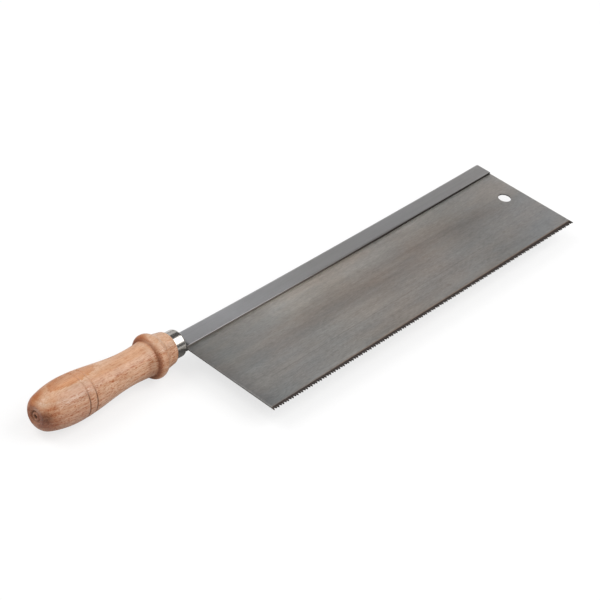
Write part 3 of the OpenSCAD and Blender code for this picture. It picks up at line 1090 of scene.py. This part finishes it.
def on_sheet(tree, place, base_y):
    """Distances of a place from the heel and above a height, in millimetres."""
    point = split(tree, place)
    from_heel = maths(tree, "SUBTRACT", maths(tree, "DIVIDE", point["X"], MM), HEEL_X)
    above = maths(tree, "SUBTRACT", maths(tree, "DIVIDE", point["Y"], MM), base_y)
    return from_heel, above


def finish_metal(tree, shader, colour, scratch, roughness, relief, cuts=None):
    """Makes bare metal of a colour, with scratches, that is rougher on its sheared edges."""
    rough = toned(tree, scratch, *roughness, smooth=True)
    if cuts is not None:
        edges = most(tree, cuts["Ends"], cuts["Lower"])
        rough = maths(tree, "ADD", rough, times(tree, edges, SHEARED_ROUGH))
    tree.links.new(colour, shader.inputs["Base Color"])
    tree.links.new(rough, shader.inputs["Roughness"])
    tree.links.new(bump(tree, scratch, *relief), shader.inputs["Normal"])
    shader.inputs["Metallic"].default_value = 1.0


def plated(brushed):
    """Bright plating with faint polishing marks."""
    made, tree, shader = new_material("bright_plating")
    strokes = strokes_in(tree, brushed, *PLATING_STROKES)
    tone = ramp(tree, strokes["Streak"], PLATING_TONES)
    finish_metal(tree, shader, tone, strokes["Scratch"], PLATING_ROUGH, PLATING_RELIEF)
    return made


def back_steel(brushed, cut):
    """Folded strip: satin steel, faintly blue, drawn lengthwise, with dark sheared lips that painted shade
    darkens towards the toe, and a painted contact shadow at the ferrule.
    """
    made, tree, shader = new_material("back_steel")
    strokes = strokes_in(tree, brushed, *BACK_STROKES)
    from_heel, above_lip = on_sheet(tree, object_place(tree), LIP_Y)
    shine = ramp(tree, maths(tree, "DIVIDE", from_heel, BACK_LEN), BACK_SHINE)
    shone = multiplied(tree, ramp(tree, strokes["Cloud"], BACK_CLOUD), shine)
    tone = toned(tree, strokes["Streak"], *BACK_STREAKS)
    grain = toned(tree, strokes["Scratch"], *BACK_SCRATCHES)
    drawn = multiplied(tree, shone, grey(tree, times(tree, tone, grain)))
    toeward = span(tree, from_heel, *TOEWARD)
    # Painted shade creeping up from the lip towards the toe
    lip_shaded = covered(tree, times(tree, toeward, span(tree, above_lip, *LIP_SHADE_CREEP)), drawn, LIP_SHADE)
    # Painted contact shadow at the ferrule
    heel_shadowed = covered(tree, mask_of(tree, {"from_heel": from_heel}, HEEL_SHADOW_PLACE), lip_shaded, HEEL_SHADOW)
    early = times(tree, toeward, LIP_EARLY)
    cuts = add(tree, "ShaderNodeGroup", {"Early": early}, node_tree=cut).outputs
    lipped = mix(tree, "MIX", cuts["Lower"], heel_shadowed, ramp(tree, toeward, LIP_SHEAR_AND_SHADE))
    sawn = covered(tree, cuts["Ends"], lipped, BACK_END)
    finish_metal(tree, shader, sawn, strokes["Scratch"], BACK_ROUGH, STEEL_RELIEF, cuts)
    return made


def blade_steel(brushed, cut):
    """Ground blade: lengthwise strokes, clouded tint, and a dark hardened band along the teeth."""
    made, tree, shader = new_material("blade_steel")
    strokes = strokes_in(tree, brushed, *BLADE_STROKES)
    place = object_place(tree)
    from_heel, above_tips = on_sheet(tree, place, TIP_Y)
    along = maths(tree, "DIVIDE", from_heel, BLADE_LEN)
    measures = {
        "from_heel": from_heel,
        "along": along,
        "above": above_tips,
        "off_line": apart(tree, above_tips, STROKE_LINE_H),
        "over_band": maths(tree, "SUBTRACT", above_tips, span(tree, from_heel, *BAND_TOP)),
        "cloud": strokes["Cloud"],
    }
    lifted = maths(tree, "ADD", 1, mask_of(tree, measures, UNDER_BACK))
    haze = toned(tree, strokes["Cloud"], *HAZE, smooth=True)
    haze_share = span(tree, mask_of(tree, measures, BLADE_MIDDLE), 0, 1, *HAZE_SHARES)
    hazed = between(tree, haze_share, 1.0, haze)
    tone = toned(tree, strokes["Streak"], *BLADE_STREAKS)
    grain = toned(tree, strokes["Scratch"], *BLADE_SCRATCHES)
    length_toned = tinted_at_places(tree, measures, BLADE_PLACES, ramp(tree, along, BLADE_LENGTH_TONES))
    tarnished = multiplied(tree, length_toned, ramp(tree, noise(tree, place, *TARNISH_NOISE), TARNISH))
    colour = multiplied(tree, tarnished, grey(tree, times(tree, lifted, hazed, tone, grain)))
    for cover, *limits in TOOTH_BAND.values():
        colour = covered(tree, mask_of(tree, measures, limits), colour, cover)
    cuts = add(tree, "ShaderNodeGroup", {"Early": BLADE_EARLY}, node_tree=cut).outputs
    edged = covered(tree, cuts["Lower"], colour, BLADE_EDGE)
    over_teeth = times(tree, cuts["Ends"], span(tree, above_tips, *OVER_TEETH))
    ended = covered(tree, over_teeth, edged, BLADE_END)
    finish_metal(tree, shader, ended, strokes["Scratch"], BLADE_ROUGH, STEEL_RELIEF, cuts)
    return made


# Floor: its half width in metres, the share of its white that doesn't depend on the shadow, its shade as the
# saw is lit by it and as it is seen, and the distances in metres from the ferrule over which its painted
# shade in reflections gives way to white
FLOOR_HALF = 6
FLOOR_GLOW = 0.7
FLOOR_LIT = (0.54, 0.54, 0.54)
FLOOR_SEEN = (0.97, 0.97, 0.97)
FLOOR_REFLECTION_SHADE = (0.03, 0.13)


def no_gloss(shader):
    """Makes a shader fully matt."""
    shader.inputs["Roughness"].default_value = 1.0
    shader.inputs["Specular IOR Level"].default_value = 0.0


def plain_floor():
    """White floor that is lit for the eye and for reflections, keeps the saw's soft shadow, and in
    reflections only is painted darker near the ferrule.
    """
    made, tree, shader = new_material("white_floor")
    no_gloss(shader)
    path = add(tree, "ShaderNodeLightPath").outputs
    from_ferrule = add(
        tree,
        "ShaderNodeVectorMath",
        {0: object_place(tree), 1: (HEEL_X * MM, LIP_Y * MM, 0)},
        operation="DISTANCE",
    ).outputs["Value"]
    mirrored = most(tree, path["Is Glossy Ray"], path["Is Transmission Ray"])
    # Painted shade: in reflections the floor stays dim near the ferrule and turns white further out
    reflected_white = times(tree, mirrored, span(tree, from_ferrule, *FLOOR_REFLECTION_SHADE))
    seen = most(tree, path["Is Camera Ray"], reflected_white)
    tree.links.new(covered(tree, seen, (*FLOOR_LIT, 1), FLOOR_SEEN), shader.inputs["Base Color"])
    share = times(tree, path["Is Camera Ray"], FLOOR_GLOW)
    glow = add(tree, "ShaderNodeEmission", {"Color": (1, 1, 1, 1), "Strength": 1.0})
    blend = add(tree, "ShaderNodeMixShader", {0: share, 1: shader.outputs[0], 2: glow.outputs[0]})
    tree.links.new(blend.outputs[0], tree.nodes["Material Output"].inputs["Surface"])
    return made


def card_finish(name, shade):
    """Matt grey of a reflector card."""
    made, tree, shader = new_material(name)
    no_gloss(shader)
    shader.inputs["Base Color"].default_value = (shade, shade, shade, 1)
    return made


# Pieces

brushed = brushed_group()
sheared = cut_group()
turning = turned_tree()

for name, outline, finish, node, slot in (
    ("turned_handle", handle_outline(), beech(), "handle", "handle_wood"),
    ("drawn_ferrule", ferrule_outline(), plated(brushed), "ferrule", "ferrule_plating"),
):
    seed = outline_mesh(name + "_outline", outline)
    turned_mesh = grow(name, seed, turning, {"Facets": TURNED_FACETS, "Finish": finish})
    finish_piece(name, turned_mesh, handle_place(), node)

tooth_base = BLADE_LEN / TOOTH_COUNT - GULLET_W
blade_mesh = grow(
    "toothed_blade",
    bpy.data.meshes.new("blade_seed"),
    toothed_tree(),
    {
        "Length": BLADE_LEN,
        "Depth": BLADE_H,
        "Thickness": BLADE_T,
        "Teeth": TOOTH_COUNT,
        "Tooth depth": tooth_base / (2 * math.tan(TOOTH_HALF_ANGLE)),
        "Flank angle": TOOTH_HALF_ANGLE,
        "Gullet radius": GULLET_W / 2 * math.cos(TOOTH_HALF_ANGLE) / (1 - math.sin(TOOTH_HALF_ANGLE)),
        "Set": TOOTH_SET,
        "Hole place": Vector((BLADE_LEN - HOLE_FROM_TOE, LIP_Y - HOLE_BELOW_LIP - TIP_Y, 0)),
        "Hole radius": HOLE_R,
        "Finish": blade_steel(brushed, sheared),
    },
)
blade_place = Matrix.Translation((HEEL_X, TIP_Y, MID_Z))
finish_piece("toothed_blade", blade_mesh, blade_place, "saw_blade")

back_finish = back_steel(brushed, sheared)
back_place = Matrix.Translation((HEEL_X, LIP_Y, MID_Z))
finish_piece("folded_strip", strip_mesh(back_finish), back_place, "folded_back")

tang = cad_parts["tang"]
tang.data.materials.clear()
tang.data.materials.append(back_finish)


# Floor, light and camera. Lengths are in metres, and angles are in degrees about the handle's axis, from +Y
# towards +Z.
WORLD_LIGHT = 0.78
KEY_ANGLES = (95.5, 143)
KEY_AWAY = 1.1
KEY_RUN = (0.2, 1.5)
KEY_RADIANCE = 2.4
TOP_WAY = (-0.42, 0.44, 0.79)
TOP_AWAY = 1.2
TOP_SIZE = 0.6
TOP_RADIANCE = 3.4
PALE_CARD = 0.92
DARK_CARD = 0.22
CARD_AWAY = 1.4
CARD_RUN = (0.3, 2.6)
PALE_BACK_ANGLES = (2, 28)
DARK_HIGH_ANGLES = (50, 95)
DARK_LOW_ANGLES = (149, 174)
END_CARD_X = 2.4
END_CARD_H = 1.2


def card(name, corner, edge_x, edge_up, finish):
    """Flat card given by a corner and two edges."""
    corner = Vector(corner)
    edge_x = Vector(edge_x)
    edge_up = Vector(edge_up)
    corners = [corner, corner + edge_x, corner + edge_x + edge_up, corner + edge_up]
    mesh = bpy.data.meshes.new(name)
    mesh.from_pydata(corners, [], [(0, 1, 2, 3)])
    mesh.materials.append(finish)
    made = bpy.data.objects.new(name, mesh)
    bpy.context.scene.collection.objects.link(made)
    return made


def around(angle, distance):
    """Point in the plane across the handle's axis, at an angle and a distance."""
    way = Vector((0, math.cos(math.radians(angle)), math.sin(math.radians(angle))))
    return way * distance + AXIS_START * MM


def strip_card(name, angles, finish):
    """Card that runs along X and spans two angles, out of the camera's sight."""
    first, second = (around(angle, CARD_AWAY) for angle in angles)
    x_from, x_to = CARD_RUN
    made = card(name, first + Vector((x_from, 0, 0)), (x_to - x_from, 0, 0), second - first, finish)
    made.visible_camera = False


def softbox(name, width, height, radiance, place):
    """Rectangular lamp of an even radiance that shines along its own -Z."""
    lamp = bpy.data.lights.new(name, "AREA")
    lamp.shape = "RECTANGLE"
    lamp.size = width
    lamp.size_y = height
    lamp.energy = radiance * math.pi * width * height
    made = bpy.data.objects.new(name, lamp)
    made.matrix_world = place
    bpy.context.scene.collection.objects.link(made)


def studio():
    """White world, a long key lamp on the near side, reflector cards, and a top lamp on the far side."""
    world = bpy.data.worlds.new("studio")
    bpy.context.scene.world = world
    world.use_nodes = True
    sky = world.node_tree.nodes["Background"].inputs
    sky["Color"].default_value = (1, 1, 1, 1)
    sky["Strength"].default_value = WORLD_LIGHT

    first, second = (around(angle, KEY_AWAY) for angle in KEY_ANGLES)
    x_from, x_to = KEY_RUN
    across = Vector((1, 0, 0))
    upward = (first - second).normalized()
    turn = Matrix((across, upward, across.cross(upward))).transposed().to_4x4()
    centre = (first + second) / 2 + Vector(((x_from + x_to) / 2, 0, 0))
    key_place = Matrix.Translation(centre) @ turn
    softbox("key", x_to - x_from, (second - first).length, KEY_RADIANCE, key_place)

    dark = card_finish("dark_card", DARK_CARD)
    strip_card("pale_card_back", PALE_BACK_ANGLES, card_finish("pale_card", PALE_CARD))
    strip_card("dark_card_high", DARK_HIGH_ANGLES, dark)
    strip_card("dark_card_low", DARK_LOW_ANGLES, dark)
    end_corner = (END_CARD_X, -END_CARD_H, 0)
    end_card = card("dark_card_end", end_corner, (0, 2 * END_CARD_H, 0), (0, 0, END_CARD_H), dark)
    end_card.visible_camera = False

    aim = Vector(TOP_WAY).normalized()
    top_place = Matrix.Translation(aim * TOP_AWAY) @ aim.to_track_quat("Z", "Y").to_matrix().to_4x4()
    softbox("top", TOP_SIZE, TOP_SIZE, TOP_RADIANCE, top_place)


def camera():
    """Camera at the photo's view, rolled about its own axis."""
    right = Vector((math.cos(VIEW_AZIMUTH), math.sin(VIEW_AZIMUTH), 0))
    back = Vector(
        (
            math.sin(VIEW_AZIMUTH) * math.cos(VIEW_ELEVATION),
            -math.cos(VIEW_AZIMUTH) * math.cos(VIEW_ELEVATION),
            math.sin(VIEW_ELEVATION),
        )
    )
    up = back.cross(right)
    across = math.cos(VIEW_ROLL) * right + math.sin(VIEW_ROLL) * up
    upward = back.cross(across)
    lens = bpy.data.cameras.new("camera")
    lens.sensor_width = SENSOR
    lens.lens = LENS
    lens.clip_start = NEAREST
    lens.clip_end = FARTHEST
    made = bpy.data.objects.new("camera", lens)
    turn = Matrix((across, upward, back)).transposed().to_4x4()
    made.matrix_world = Matrix.Translation((VIEW_TARGET + back * VIEW_DISTANCE) * MM) @ turn
    bpy.context.scene.collection.objects.link(made)
    bpy.context.scene.camera = made


floor_corner = (-FLOOR_HALF, -FLOOR_HALF, 0)
card("floor", floor_corner, (2 * FLOOR_HALF, 0, 0), (0, 2 * FLOOR_HALF, 0), plain_floor())
studio()
camera()
bpy.context.scene.view_settings.view_transform = "Standard"
